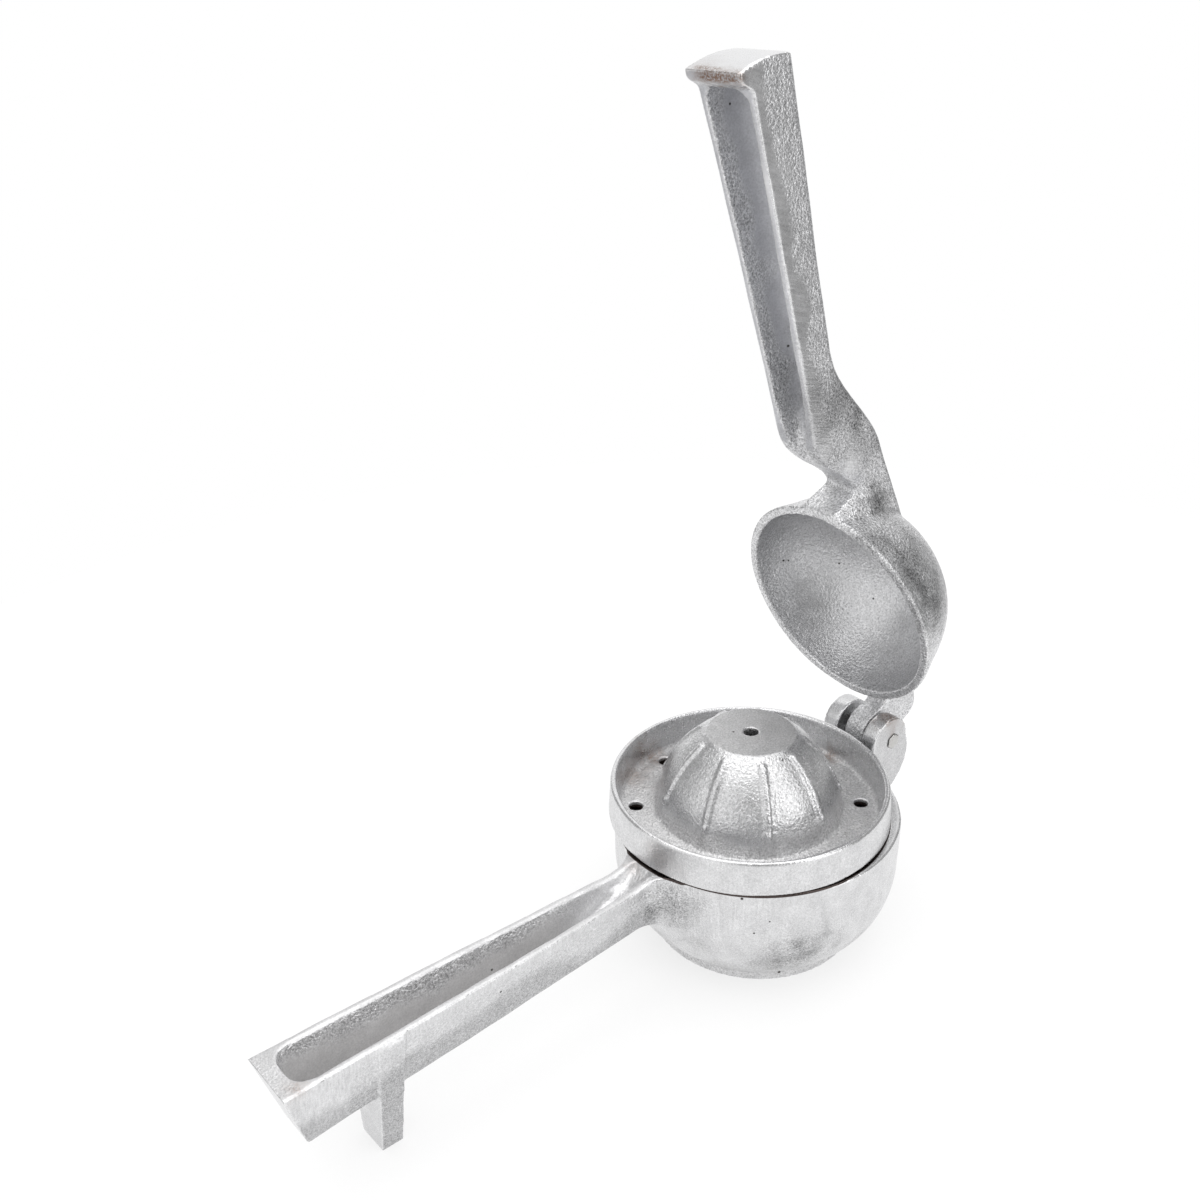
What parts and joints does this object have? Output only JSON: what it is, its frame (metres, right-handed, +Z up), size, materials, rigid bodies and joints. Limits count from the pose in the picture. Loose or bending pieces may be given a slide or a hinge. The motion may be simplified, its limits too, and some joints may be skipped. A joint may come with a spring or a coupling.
{
  "type": "hinged lemon squeezer",
  "caption": "Cast aluminium table-top lever squeezer: a footed juice bowl with a handle and leg, a loose strainer with a ribbed reamer dome, and a hinged press arm with a round cup.",
  "frame": {"origin": "centre of the foot ring, on the table", "axes": "+Z up, +X from the handles' ends towards the hinge"},
  "size_m": [0.2487, 0.0912, 0.269],
  "materials": {
    "cast_aluminium": "tumbled sand casting",
    "pin_aluminium": "peened rivet"
  },
  "bodies": {
    "base": {"base_casting": "cast_aluminium", "strainer_insert": "cast_aluminium", "hinge_pin": "pin_aluminium"},
    "press": {"press_arm": "cast_aluminium"}
  },
  "joints": [
    {"name": "press_hinge", "type": "hinge", "parent": "base", "child": "press", "pos_m": [0.0539, 0, 0.0492], "axis": [0, -1, 0], "range_deg": [-35, 69]}
  ]
}
